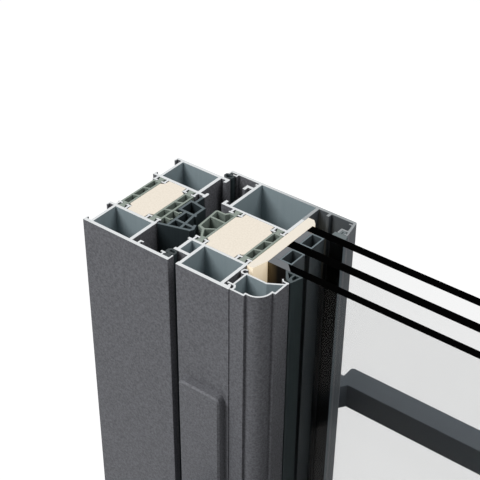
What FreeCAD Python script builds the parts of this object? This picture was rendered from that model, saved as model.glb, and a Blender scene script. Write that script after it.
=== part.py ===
import FreeCAD, Part
import math
import os

from FreeCAD import Placement, Rotation, Vector

# An outward opening, glazed swing door with its frame, from the floor up to a level
# cut above the lever handle. Frame and leaf are aluminium profiles of two shells each,
# held apart by plastic bars with foam between them.
#
# A profile's section is drawn in two directions, in millimetres:
# across, from the wall side of the frame towards the glass, and deep, from the inside
# face of the frame towards the outside. The same section runs up the lock side, along
# the floor and up the hinge side, with a mitre at both lower corners.

SIZES = {
    # the whole door
    "overall_width": 1100.0,
    "cut_height": 1233.0,
    "handle_height": 1050.0,
    "mitre_gap": 0.3,
    "seat_gap": 0.1,
    "seal_gap": 0.3,
    # drawing and cutting
    "wall_overlap": 0.5,
    "corner_reach": 170.0,
    "cutter_slack": 10.0,
    # frame, inside shell
    "frame_depth": 92.0,
    "frame_body_start": 4.5,
    "frame_body_end": 38.9,
    "frame_inside_depth": 25.3,
    "frame_outside_depth": 25.7,
    "frame_reach": 69.2,
    "frame_face_wall": 2.4,
    "frame_inner_wall": 2.2,
    "frame_outer_side_wall": 1.9,
    "frame_rebate_wall": 2.4,
    "foot_depth": 4.2,
    "foot_width": 1.0,
    "inner_foot_depth": 3.8,
    "fin_wall": 1.9,
    "frame_hook_place": 43.0,
    "frame_hook_size": 3.0,
    "frame_hook_wall": 1.5,
    "seal_groove_place": 61.8,
    "seal_groove_head_left": 1.8,
    "seal_groove_head_right": 1.6,
    "seal_groove_head_wall": 1.2,
    "lip_wall": 1.0,
    "lip_height": 3.0,
    "corner_radius": 0.5,
    # frame, outside shell
    "hardware_lip_reach": 44.5,
    "hardware_lip_wall": 2.1,
    "hardware_lip_front": 1.2,
    "hardware_lip_rear": 4.3,
    "hardware_lip_bevel": 0.6,
    "hardware_hook_front": 3.0,
    "hardware_hook_slope": 0.8,
    # clasps that hold the bars, and the bars' feet
    "clasp_height": 4.3,
    "clasp_head": 1.3,
    "clasp_head_width": 3.6,
    "clasp_head_shift": 0.5,
    "clasp_stem": 1.4,
    "clasp_offset": 4.0,
    "bar_foot_width": 5.2,
    "bar_neck_width": 2.9,
    "bar_wall": 1.3,
    "bar_rib_slope": 1.6,
    "frame_wall_bar_place": 8.0,
    "frame_wall_bar_width": 6.4,
    "frame_rebate_bar_place": 35.1,
    "frame_rebate_bar_width": 7.0,
    "foot_shift": 0.8,
    "nose_foot_inset": 1.9,
    "glass_foot_inset": 0.2,
    "frame_foam_start": 11.5,
    "frame_foam_end": 31.4,
    "foam_bevel": 1.6,
    # centre gasket
    "centre_seal_wall": 1.7,
    "centre_seal_start": 39.4,
    "centre_seal_front": 25.5,
    "centre_seal_front_rise": 6.2,
    "centre_seal_shelf": 35.5,
    "centre_seal_floor": 45.8,
    "centre_seal_roof": 57.0,
    "centre_seal_roof_drop": 1.4,
    "centre_seal_stem": 45.3,
    "centre_seal_corner": 51.8,
    "centre_seal_waist": 53.2,
    "centre_seal_divide": 53.8,
    "centre_seal_tip": 60.8,
    "centre_seal_tip_inset": 1.2,
    "centre_seal_lip_height": 2.6,
    "gasket_hook_wall": 0.9,
    "gasket_hook_first": 33.2,
    "gasket_hook_pitch": 8.6,
    "gasket_hook_rise": 1.9,
    # inside stop gasket
    "frame_seal_start": 62.8,
    "frame_seal_end": 69.0,
    "frame_seal_wall": 1.2,
    "frame_seal_bulge": 0.8,
    "frame_seal_bevel": 1.6,
    "frame_seal_shoulder": 3.2,
    "frame_seal_foot_inset": 1.0,
    "frame_seal_foot_height": 2.4,
    # leaf, inside shell
    "leaf_nose_start": 64.3,
    "leaf_face_start": 75.1,
    "leaf_body_end": 109.4,
    "leaf_face_end": 115.1,
    "leaf_inside_depth": 26.2,
    "leaf_face_wall": 2.4,
    "leaf_inner_wall": 1.8,
    "leaf_side_wall": 2.2,
    "leaf_nose_depth": 10.9,
    "leaf_small_start": 65.7,
    "leaf_lip_base": 2.9,
    "leaf_lip_head": 1.4,
    # leaf, outside shell
    "leaf_depth": 102.0,
    "leaf_outside_front": 66.6,
    "leaf_outside_start": 62.3,
    "leaf_flange_start": 38.5,
    "leaf_flange_wall": 2.1,
    "leaf_flange_end": 139.5,
    "leaf_flange_rear_end": 136.4,
    "leaf_flange_end_wall": 1.7,
    "leaf_flange_radius": 1.0,
    "leaf_lip_start": 57.1,
    "leaf_lip_wall": 2.1,
    "leaf_front_lip_height": 5.2,
    "leaf_rear_lip_front": 13.4,
    "leaf_rear_lip_rear": 8.1,
    "leaf_side_rib": 1.4,
    "leaf_side_rib_front": 5.0,
    "flange_rib_place": 7.6,
    "flange_rib_width": 2.0,
    "flange_rib_height": 3.2,
    "end_rib_rear": 3.6,
    "end_rib_reach": 3.0,
    "glazing_groove_deep": 12.3,
    "glazing_groove_width": 7.2,
    "glazing_lip_wall": 1.4,
    "glazing_lip_front": 3.7,
    "glazing_hook_front": 3.3,
    "glazing_hook_reach": 2.4,
    "glazing_hook_tip": 1.2,
    # leaf bars and foam
    "leaf_nose_bar_start": 59.2,
    "leaf_nose_bar_end": 73.4,
    "nose_bar_bevel": 1.1,
    "nose_bar_front_inset": 2.2,
    "nose_bar_rear_inset": 3.4,
    "nose_bar_tail": 2.6,
    "nose_bar_shoulder": 8.0,
    "nose_bar_shoulder_width": 5.3,
    "nose_bar_lean": 1.6,
    "nose_bar_front_rib": 11.2,
    "nose_bar_rear_rib": 19.8,
    "leaf_glass_bar_place": 105.4,
    "leaf_glass_bar_width": 7.2,
    "leaf_foam_start": 73.6,
    "leaf_foam_end": 101.7,
    "leaf_seal_wall": 1.2,
    "leaf_seal_end": 44.5,
    "leaf_seal_groove_depth": 2.3,
    "leaf_seal_hook_reach": 2.3,
    "leaf_seal_bulge": 0.5,
    "leaf_seal_bevel": 1.7,
    # glazing bead
    "bead_wall": 1.2,
    "bead_start": 113.7,
    "bead_top": 139.1,
    "bead_depth": 26.3,
    "bead_face_front": 0.5,
    "bead_face_wall": 1.3,
    "bead_step": 125.7,
    "bead_cheek": 137.0,
    "bead_round_radius": 9.8,
    "bead_round_end": 12.2,
    "bead_shelf_front": 13.0,
    "bead_back": 18.1,
    "bead_back_bend": 129.1,
    "bead_rail": 1.8,
    "bead_tongue_wall": 0.9,
    "bead_tongue_reach": 3.0,
    "bead_tongue_rise": 1.6,
    "bead_ring_radius": 2.5,
    "bead_ring_wall": 1.1,
    "bead_ring_across": 112.4,
    "bead_ring_deep": 19.3,
    "bead_ring_mouth": 1.75,
    "bead_hook_front": 4.8,
    "bead_hook_reach": 3.4,
    "bead_seal_wall": 1.2,
    "bead_seal_left": 130.1,
    "bead_seal_right": 142.5,
    "bead_seal_waist": 134.7,
    "bead_seal_divide": 137.0,
    "bead_seal_lip": 1.0,
    "bead_seal_rise": 3.0,
    "outside_seal_wall": 1.3,
    "outside_seal_barb": 0.8,
    "outside_seal_spread": 1.2,
    # glass unit
    "glass_edge": 116.8,
    "inside_pane_front": 35.6,
    "inside_pane": 5.7,
    "middle_pane_front": 55.0,
    "middle_pane": 6.8,
    "outside_pane_front": 75.6,
    "outside_pane": 6.4,
    "pane_packer_width": 10.9,
    "pane_packer_slope": 5.8,
    "spacer_start": 121.0,
    "spacer_width": 9.1,
    "spacer_wall": 1.0,
    "strip_width": 7.2,
    "strip_front": 25.0,
    "strip_rear": 88.0,
    "strip_bevel": 2.8,
    "strip_lip_reach": 1.4,
    "strip_lip_wall": 0.9,
    # hinges
    "hinge_axis_across": 27.0,
    "hinge_axis_deep": 112.0,
    "hinge_barrel_radius": 9.0,
    "hinge_pin_radius": 5.0,
    "hinge_running_gap": 0.05,
    "hinge_length": 120.0,
    "hinge_middle": 58.0,
    "hinge_plate": 6.0,
    "hinge_leaf_plate_width": 38.0,
    "hinge_leaf_plate_inset": 4.0,
    "hinge_web_lift": 1.5,
    "hinge_frame_plate_start": 6.0,
    "hinge_frame_plate_reach": 5.0,
    "hinge_low_height": 200.0,
    "hinge_high_height": 1040.0,
    "knuckle_gap": 0.5,
    # handle set
    "handle_across": 95.7,
    "plate_width": 32.5,
    "plate_length": 245.0,
    "plate_thickness": 6.0,
    "plate_above_handle": 98.0,
    "plate_edge_bevel": 1.2,
    "plate_corner_radius": 4.0,
    "neck_radius": 9.0,
    "neck_running_gap": 0.05,
    "neck_lift": 1.0,
    "lever_bar": 20.0,
    "lever_edge_radius": 2.5,
    "lever_clearance": 41.0,
    "lever_crank": 10.0,
    "lever_crank_start": 11.0,
    "lever_crank_run": 7.6,
    "lever_back_step": 4.0,
    "lever_length": 137.0,
    "spindle_side": 8.0,
    "spindle_slot": 16.0,
    "cylinder_below_handle": 92.0,
    "cylinder_radius": 8.5,
    "cylinder_web": 10.0,
    "cylinder_height": 33.0,
    "cylinder_proud": 2.0,
    "cylinder_gap": 0.3,
}

doc = FreeCAD.newDocument("SwingDoor")
sheet = doc.addObject("Spreadsheet::Sheet", "Sizes")
for row, (name, value) in enumerate(SIZES.items(), start=1):
    sheet.set(f"A{row}", name)
    sheet.set(f"B{row}", str(value))
    sheet.setAlias(f"B{row}", name)
doc.recompute()


def size(name):
    return float(sheet.get(name))


# Drawing of sections

# walls of one section run this far into each other
overlap = size("wall_overlap")

tolerance = 0.001


def outline(corners):
    """Closed face through corners (across, deep) or (across, deep, radius)."""
    turns = zip(corners, corners[1:] + corners[:1])
    if sum(here[0] * after[1] - after[0] * here[1] for here, after in turns) < 0:
        corners = corners[::-1]
    count = len(corners)
    starts, ends, mids = [], [], []
    for index, corner in enumerate(corners):
        here = Vector(corner[0], corner[1], 0)
        if len(corner) == 2:
            starts.append(here)
            ends.append(here)
            mids.append(None)
            continue
        before = Vector(*corners[index - 1][:2], 0) - here
        after = Vector(*corners[(index + 1) % count][:2], 0) - here
        before.normalize()
        after.normalize()
        half = before.getAngle(after) / 2
        reach = corner[2] / math.tan(half)
        centre = here + (before + after).normalize() * (corner[2] / math.sin(half))
        starts.append(here + before * reach)
        ends.append(here + after * reach)
        mids.append(centre + (here - centre).normalize() * corner[2])
    edges = []
    for index in range(count):
        if mids[index] is not None:
            edges.append(Part.Arc(starts[index], mids[index], ends[index]).toShape())
        following = starts[(index + 1) % count]
        if ends[index].distanceToPoint(following) > tolerance:
            edges.append(Part.LineSegment(ends[index], following).toShape())
    return Part.Face(Part.Wire(edges))


def plate(left, front, right, rear):
    return outline([(left, front), (right, front), (right, rear), (left, rear)])


def bevelled(left, front, right, rear, cut):
    """Rectangle with its four corners cut off."""
    return outline([
        (left + cut, front), (right - cut, front), (right, front + cut), (right, rear - cut),
        (right - cut, rear), (left + cut, rear), (left, rear - cut), (left, front + cut),
    ])


def strip(points, wall):
    """Wall of even thickness along an open line through the points."""
    path = [Vector(x, y, 0) for x, y in points]
    left, right = [], []
    for index, here in enumerate(path):
        steps = []
        if index > 0:
            steps.append((here - path[index - 1]).normalize())
        if index < len(path) - 1:
            steps.append((path[index + 1] - here).normalize())
        along = (steps[0] + steps[-1]).normalize()
        across = Vector(-along.y, along.x, 0)
        reach = wall / 2 / along.dot(steps[0])
        left.append(here + across * reach)
        right.append(here - across * reach)
    return outline([(p.x, p.y) for p in left + right[::-1]])


def disc(across, deep, radius):
    edge = Part.makeCircle(radius, Vector(across, deep, 0))
    return Part.Face(Part.Wire([edge]))


def joined(walls, holes=()):
    """One section from overlapping walls, less its holes."""
    face = walls[0].multiFuse(list(walls[1:]))
    if holes:
        face = face.cut(list(holes))
    return face.removeSplitter()


# Clasps and bar feet

def clasp(middle, side, root, way):
    """Hook beside a bar's foot; side is -1 or 1 across, way is 1 to the outside."""
    top = root + way * size("clasp_height")
    head = top - way * size("clasp_head")
    stem = middle + side * size("clasp_offset")
    head_middle = stem - side * size("clasp_head_shift")
    half_stem = size("clasp_stem") / 2
    half_head = size("clasp_head_width") / 2
    low, high = sorted((head, top))
    stem_low, stem_high = sorted((root - way * overlap, head + way * overlap))
    return [
        plate(stem - half_stem, stem_low, stem + half_stem, stem_high),
        plate(head_middle - half_head, low, head_middle + half_head, high),
    ]


def bar_foot(middle, root, way, end):
    """Dovetail foot of a bar, from the shell at root up to the bar's body at end."""
    wide = size("bar_foot_width") / 2
    narrow = size("bar_neck_width") / 2
    start = root + way * size("seat_gap")
    waist = root + way * (size("clasp_height") - size("clasp_head") - size("seat_gap"))
    return outline([
        (middle - wide, start),
        (middle + wide, start),
        (middle + narrow, waist),
        (middle + narrow, end),
        (middle - narrow, end),
        (middle - narrow, waist),
    ])


def bar_chambers(left, right, front, rear, ribs):
    """Hollows of a bar between its walls and its slanted ribs."""
    wall = size("bar_wall")
    slope = size("bar_rib_slope") / 2
    low_left = low_right = front + wall
    hollows = []
    for middle in ribs:
        high_left = middle - slope - wall / 2
        high_right = middle + slope - wall / 2
        hollows.append(outline([
            (left + wall, low_left), (right - wall, low_right),
            (right - wall, high_right), (left + wall, high_left),
        ]))
        low_left = high_left + wall
        low_right = high_right + wall
    hollows.append(outline([
        (left + wall, low_left), (right - wall, low_right),
        (right - wall, rear - wall), (left + wall, rear - wall),
    ]))
    return hollows


frame_outside_front = size("frame_depth") - size("frame_outside_depth")
bar_lead = size("clasp_height") + size("seat_gap") * 3
frame_bar_front = size("frame_inside_depth") + bar_lead
frame_bar_rear = frame_outside_front - bar_lead
leaf_bar_front = size("leaf_inside_depth") + bar_lead
leaf_bar_rear = size("leaf_outside_front") - bar_lead
frame_middle = (frame_bar_front + frame_bar_rear) / 2

wall_foot = size("frame_wall_bar_place") + size("foot_shift")
rebate_foot = size("frame_body_end") - size("frame_rebate_wall") / 2 - size("clasp_offset")
nose_foot = size("leaf_nose_bar_end") - size("nose_foot_inset")
glass_foot = (size("leaf_body_end") - size("leaf_side_wall") / 2 - size("clasp_offset")
              - size("glass_foot_inset"))


# Frame sections

def frame_inside_section():
    face = size("frame_face_wall")
    start = size("frame_body_start")
    end = size("frame_body_end")
    depth = size("frame_inside_depth")
    reach = size("frame_reach")
    foot = size("foot_width")
    hook = size("frame_hook_place")
    groove = size("seal_groove_place")
    lip = size("lip_wall")
    rise = face + size("lip_height")
    walls = [
        outline([(0, 0), (reach, 0, size("corner_radius")), (reach, face), (0, face)]),
        plate(0, 0, foot, size("foot_depth")),
        plate(start, 0, end, depth),
        plate(0, depth - size("fin_wall"), start + overlap, depth),
        plate(0, depth - size("inner_foot_depth"), foot, depth),
        plate(hook, face - overlap, hook + size("frame_hook_wall"), rise),
        plate(hook, rise - lip, hook + size("frame_hook_size"), rise),
        plate(groove, face - overlap, groove + lip, rise - overlap),
        plate(groove - size("seal_groove_head_left"), rise - size("seal_groove_head_wall"),
              groove + size("seal_groove_head_right"), rise),
        plate(reach - lip, face - overlap, reach, rise),
    ]
    for foot_place in (wall_foot, rebate_foot):
        walls += clasp(foot_place, -1, depth, 1) + clasp(foot_place, 1, depth, 1)
    chamber = plate(start + size("frame_outer_side_wall"), face,
                    end - size("frame_rebate_wall"), depth - size("frame_inner_wall"))
    return joined(walls, [chamber])


def frame_outside_section():
    start = size("frame_body_start")
    end = size("frame_body_end")
    front = frame_outside_front
    rear = size("frame_depth")
    foot = size("inner_foot_depth")
    fin = size("fin_wall")
    lip = size("hardware_lip_reach")
    wall = size("hardware_lip_wall")
    hook = rear - wall - size("hardware_hook_front")
    walls = [
        plate(start, front, end, rear),
        plate(0, front, start + overlap, front + fin),
        plate(0, front, size("foot_width"), front + foot),
        plate(0, rear - fin, start + overlap, rear),
        plate(0, rear - foot, size("foot_width"), rear),
        plate(end - overlap, front, lip, front + fin),
        bevelled(lip - wall, front - size("hardware_lip_front"), lip,
                 front + size("hardware_lip_rear"), size("hardware_lip_bevel")),
        plate(end - overlap, rear - wall, lip, rear),
        outline([(lip - wall, hook), (lip, hook + size("hardware_hook_slope")),
                 (lip, rear - overlap), (lip - wall, rear - overlap)]),
    ]
    for foot_place in (wall_foot, rebate_foot):
        walls += clasp(foot_place, -1, front, -1) + clasp(foot_place, 1, front, -1)
    chamber = plate(start + size("frame_outer_side_wall"), front + size("frame_inner_wall"),
                    end - size("frame_rebate_wall"), rear - size("frame_face_wall"))
    return joined(walls, [chamber])


def straight_bar_section(place, width, foot_place, roots, front, rear, extras=()):
    """Hollow bar with a foot at each end; roots are the faces of the two shells."""
    left = place - width / 2
    right = place + width / 2
    ribs = [front + (rear - front) / 3, front + (rear - front) * 2 / 3]
    walls = [
        plate(left, front, right, rear),
        bar_foot(foot_place, roots[0], 1, front + overlap),
        bar_foot(foot_place, roots[1], -1, rear - overlap),
        *extras,
    ]
    return joined(walls, bar_chambers(left, right, front, rear, ribs))


def frame_wall_bar_section():
    return straight_bar_section(
        size("frame_wall_bar_place"), size("frame_wall_bar_width"), wall_foot,
        (size("frame_inside_depth"), frame_outside_front), frame_bar_front, frame_bar_rear)


def frame_rebate_bar_section():
    """Bar with two hooks that hold the stem of the centre gasket."""
    edge = size("frame_rebate_bar_place") + size("frame_rebate_bar_width") / 2
    wall = size("gasket_hook_wall")
    tip = size("centre_seal_stem") - (size("centre_seal_wall") + wall) / 2 - size("seal_gap")
    hooks = []
    for index in range(2):
        deep = size("gasket_hook_first") + index * size("gasket_hook_pitch")
        hooks.append(strip([(edge - wall / 2, deep), (tip - wall, deep),
                            (tip, deep + size("gasket_hook_rise"))], wall))
    return straight_bar_section(
        size("frame_rebate_bar_place"), size("frame_rebate_bar_width"), rebate_foot,
        (size("frame_inside_depth"), frame_outside_front), frame_bar_front, frame_bar_rear, hooks)


def foam_section(left, right, left_foot, right_foot, front, rear):
    """Core between two bars, cut back beside the clasps of their feet."""
    gap = size("seat_gap")
    clasp_edge = (size("clasp_offset") - size("clasp_head_shift")
                  + size("clasp_head_width") / 2 + gap)
    left_clear = left_foot + clasp_edge
    right_clear = right_foot - clasp_edge
    shoulder = size("clasp_height") + gap
    bevel = shoulder + size("foam_bevel")
    return outline([
        (left, front + bevel), (left_clear, front + shoulder), (left_clear, front + gap),
        (right_clear, front + gap), (right_clear, front + shoulder), (right, front + bevel),
        (right, rear - bevel), (right_clear, rear - shoulder), (right_clear, rear - gap),
        (left_clear, rear - gap), (left_clear, rear - shoulder), (left, rear - bevel),
    ])


def frame_foam_section():
    return foam_section(size("frame_foam_start"), size("frame_foam_end"), wall_foot,
                        rebate_foot, size("frame_inside_depth"), frame_outside_front)


def centre_seal_section():
    """Gasket in the middle of the rebate: two chambers, a nose and a lip to the front."""
    wall = size("centre_seal_wall")
    start = size("centre_seal_start")
    left = start + wall / 2
    front = size("centre_seal_front")
    rise = size("centre_seal_front_rise")
    shelf = size("centre_seal_shelf")
    floor = size("centre_seal_floor")
    roof = size("centre_seal_roof")
    stem = size("centre_seal_stem")
    corner = size("centre_seal_corner")
    waist = size("centre_seal_waist")
    divide = size("centre_seal_divide")
    tip = size("centre_seal_tip")
    tip_start = tip - size("centre_seal_tip_inset")
    neck = size("hardware_lip_reach") - size("hardware_lip_wall") / 2
    neck_end = frame_outside_front - size("hardware_lip_front") - size("seat_gap")

    def on_front_wall(across):
        return front + rise * (across - start) / (tip_start - start)

    walls = [
        strip([(left, floor), (left, roof)], wall),
        strip([(start, roof), (neck, roof), (corner, roof - size("centre_seal_roof_drop")),
               (corner, floor), (waist, shelf), (divide, on_front_wall(divide))], wall),
        strip([(neck, roof), (neck, neck_end)], wall),
        strip([(start, floor), (divide, floor)], wall),
        strip([(stem, floor), (stem, on_front_wall(stem))], wall),
        strip([(stem, shelf), (tip, shelf)], wall),
        strip([(start, front), (tip_start, front + rise)], wall),
        strip([(tip_start, front + rise - wall / 2), (tip, shelf - wall),
               (tip - wall, shelf + size("centre_seal_lip_height"))], wall),
    ]
    return joined(walls)


def frame_seal_section():
    """Hollow bulb on a foot that is held between the frame's two groove lips."""
    wall = size("frame_seal_wall")
    gap = size("seal_gap")
    start = size("frame_seal_start")
    left = start - size("frame_seal_bulge")
    right = size("frame_seal_end")
    base = size("frame_face_wall") + size("lip_height") + gap
    shoulder = base + size("frame_seal_shoulder")
    top = size("leaf_nose_depth") - gap
    bevel = size("frame_seal_bevel")
    foot = size("frame_seal_foot_inset")
    bulb = outline([
        (left, base + overlap), (left, shoulder), (left + bevel, top), (right - bevel, top),
        (right, shoulder), (right, base + overlap),
    ])
    hollow = outline([
        (start + wall, base + 1.5 * wall), (start + wall, shoulder),
        (left + bevel + wall, top - wall), (right - bevel - wall / 2, top - wall),
        (right - wall, shoulder), (right - wall, base + 1.5 * wall),
    ])
    foot_rear = base - 2 * gap
    walls = [
        plate(start + foot, foot_rear - size("frame_seal_foot_height"), right - foot, foot_rear),
        plate(start + 2 * foot, foot_rear - overlap, right - 2 * foot, base + overlap),
        plate(start, base, right, base + wall),
        bulb,
    ]
    return joined(walls, [hollow])


# Leaf sections

def leaf_inside_section():
    face = size("leaf_face_wall")
    wall = size("leaf_inner_wall")
    side = size("leaf_side_wall")
    nose = size("leaf_nose_start")
    nose_depth = size("leaf_nose_depth")
    small = size("leaf_small_start")
    start = size("leaf_face_start")
    end = size("leaf_body_end")
    face_end = size("leaf_face_end")
    depth = size("leaf_inside_depth")
    lip_top = size("bead_hook_front") - size("seal_gap")
    lip_rear_start = face_end - size("leaf_lip_base")
    walls = [
        outline([(start, 0, size("corner_radius")), (face_end, 0), (face_end, face / 2),
                 (lip_rear_start + size("leaf_lip_head"), lip_top), (lip_rear_start, lip_top),
                 (lip_rear_start, face + overlap), (start, face + overlap)]),
        plate(start + overlap, overlap, end, depth),
        plate(nose, nose_depth, start + overlap, nose_depth + side),
        plate(small, nose_depth, start + overlap, depth),
        plate(nose, depth - wall, end, depth),
    ]
    for foot_place in (nose_foot, glass_foot):
        walls += clasp(foot_place, -1, depth, 1) + clasp(foot_place, 1, depth, 1)
    main = plate(start + overlap + side, face, end - side, depth - wall)
    small_chamber = plate(small + side, nose_depth + side, start + overlap, depth - wall)
    return joined(walls, [main, small_chamber])


def leaf_outside_section():
    """Chamber with lips to the lock side, and a flange over the frame and over the glass."""
    front = size("leaf_outside_front")
    rear = size("leaf_depth")
    start = size("leaf_outside_start")
    end = size("leaf_body_end")
    side = size("leaf_side_wall")
    wall = size("leaf_flange_wall")
    lip = size("leaf_lip_start")
    lip_wall = size("leaf_lip_wall")
    rear_lip = rear - size("leaf_rear_lip_front")
    rear_lip_end = rear - size("leaf_rear_lip_rear")
    side_rib = rear - size("leaf_side_rib_front")
    flange_rib = end + size("flange_rib_place")
    walls = [
        plate(start, front, end, rear),
        plate(lip, front, start + overlap, front + lip_wall),
        plate(lip, front, lip + lip_wall, front + size("leaf_front_lip_height")),
        plate(lip, rear_lip_end - lip_wall, start + overlap, rear_lip_end),
        plate(lip, rear_lip, lip + lip_wall, rear_lip_end),
        plate(start - size("leaf_side_rib"), side_rib, start + overlap,
              side_rib + size("leaf_side_rib")),
        plate(flange_rib, rear - wall - size("flange_rib_height"),
              flange_rib + size("flange_rib_width"), rear - overlap),
    ]
    walls += seal_groove_walls() + glazing_groove_walls()
    for foot_place in (nose_foot, glass_foot):
        walls += clasp(foot_place, -1, front, -1) + clasp(foot_place, 1, front, -1)
    chamber = plate(start + side, front + size("leaf_inner_wall"), end - side, rear - wall)
    return joined(walls, [chamber])


def seal_groove_walls():
    """Flange end over the frame, with the two lips that hold the stop gasket's foot."""
    start = size("leaf_flange_start")
    face = size("leaf_depth") - size("leaf_flange_wall")
    lip = size("lip_wall")
    hook = size("leaf_seal_end")
    front = face - size("leaf_seal_groove_depth")
    return [
        plate(start, face, size("leaf_outside_start") + overlap, size("leaf_depth")),
        plate(start, front, start + lip, face + overlap),
        plate(hook, front, hook + lip, face + overlap),
        plate(hook - size("leaf_seal_hook_reach"), front, hook + lip, front + lip),
    ]


def glazing_groove_walls():
    """Flange end over the glass: a slanted end wall and the groove of the glazing gasket."""
    body = size("leaf_body_end") - overlap
    end = size("leaf_flange_end")
    rear = size("leaf_depth")
    face = rear - size("leaf_flange_wall")
    rear_end = size("leaf_flange_rear_end")
    end_wall = size("leaf_flange_end_wall")
    groove = rear - size("glazing_groove_deep")
    left = end - size("glazing_groove_width")
    lip = size("glazing_lip_wall")
    hook = groove - size("glazing_hook_front")
    tip = end - size("glazing_hook_reach")
    tip_rear = hook + size("glazing_hook_tip")
    rib = rear - size("end_rib_rear")
    slope = (end - rear_end) / (rear - tip_rear)

    def inner_face(deep):
        return rear_end + slope * (rear - deep) - end_wall

    return [
        outline([(body, rear), (rear_end, rear, size("leaf_flange_radius")), (end, tip_rear),
                 (end, hook), (tip, hook), (tip, tip_rear), (end - lip, tip_rear),
                 (inner_face(groove) + lip - end_wall / 2, groove),
                 (inner_face(groove + lip), groove + lip), (inner_face(face), face),
                 (body, face)]),
        plate(rear_end - size("end_rib_reach"), rib - size("lip_wall"), rear_end - overlap, rib),
        plate(left, groove, end - lip, groove + lip),
        plate(left, groove - size("glazing_lip_front"), left + lip, groove + overlap),
    ]


def leaf_nose_bar_section():
    """Bar with a bulging front towards the rebate and two slanted ribs."""
    start = size("leaf_nose_bar_start")
    end = size("leaf_nose_bar_end")
    front = leaf_bar_front
    rear = leaf_bar_rear
    wall = size("bar_wall")
    cut = size("nose_bar_bevel")
    front_left = nose_foot - size("nose_bar_front_inset")
    rear_left = nose_foot - size("nose_bar_rear_inset")
    tail = rear - size("nose_bar_tail")
    shoulder = front + size("nose_bar_shoulder")
    shoulder_left = start + size("nose_bar_shoulder_width")
    lean = start + size("nose_bar_lean")
    front_rib = front + size("nose_bar_front_rib")
    rear_rib = front + size("nose_bar_rear_rib")
    body = outline([
        (front_left, front), (end, front), (end, rear), (rear_left, rear),
        (rear_left - 2 * cut, tail), (start + cut, tail), (start, tail - cut), (lean, shoulder),
        (shoulder_left, shoulder - cut), (shoulder_left + cut, shoulder - 2 * cut),
    ])
    hollows = [
        outline([(front_left + wall / 2, front + wall), (end - wall, front + wall),
                 (end - wall, front_rib), (shoulder_left + 1.5 * wall, shoulder - wall / 2)]),
        outline([(lean + wall, shoulder + wall), (shoulder_left + wall, shoulder + wall / 4),
                 (end - wall, front_rib + wall), (end - wall, rear_rib),
                 (start + 1.5 * wall, rear_rib)]),
        outline([(start + 1.5 * wall, rear_rib + wall), (end - wall, rear_rib + wall),
                 (end - wall, rear - wall), (rear_left + wall / 2, rear - wall),
                 (rear_left - cut, tail - wall), (start + wall, tail - wall)]),
    ]
    walls = [
        body,
        bar_foot(nose_foot, size("leaf_inside_depth"), 1, front + overlap),
        bar_foot(nose_foot, size("leaf_outside_front"), -1, rear - overlap),
    ]
    return joined(walls, hollows)


def leaf_glass_bar_section():
    return straight_bar_section(
        size("leaf_glass_bar_place"), size("leaf_glass_bar_width"), glass_foot,
        (size("leaf_inside_depth"), size("leaf_outside_front")), leaf_bar_front, leaf_bar_rear)


def leaf_foam_section():
    return foam_section(size("leaf_foam_start"), size("leaf_foam_end"), nose_foot,
                        glass_foot, size("leaf_inside_depth"), size("leaf_outside_front"))


def leaf_seal_section():
    """Hollow bulb on a foot that is held between the two lips of the flange."""
    wall = size("leaf_seal_wall")
    gap = size("seat_gap")
    start = size("leaf_flange_start")
    face = size("leaf_depth") - size("leaf_flange_wall")
    base = face - size("leaf_seal_groove_depth") - 2 * gap
    front = size("frame_depth") + size("seal_gap") + wall / 2
    bevel = size("leaf_seal_bevel")
    shoulder = front + bevel
    left = start - size("leaf_seal_bulge")
    right = size("leaf_seal_end") - wall / 2
    foot = start + size("lip_wall") + 2 * gap
    foot_end = size("leaf_seal_end") - size("leaf_seal_hook_reach") - 2 * gap
    walls = [
        plate(foot, base + 2 * gap + overlap, foot_end, face - gap),
        plate(foot + overlap, base - overlap, foot_end - overlap,
              base + 2 * gap + 2 * overlap),
        plate(left, base - wall, right, base),
        strip([(left, base - wall / 2), (left, shoulder), (left + bevel, front),
               (right - bevel, front), (right, shoulder), (right, base - wall / 2)], wall),
    ]
    return joined(walls)


# Glazing bead, its gasket and the outside glazing gasket

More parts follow.
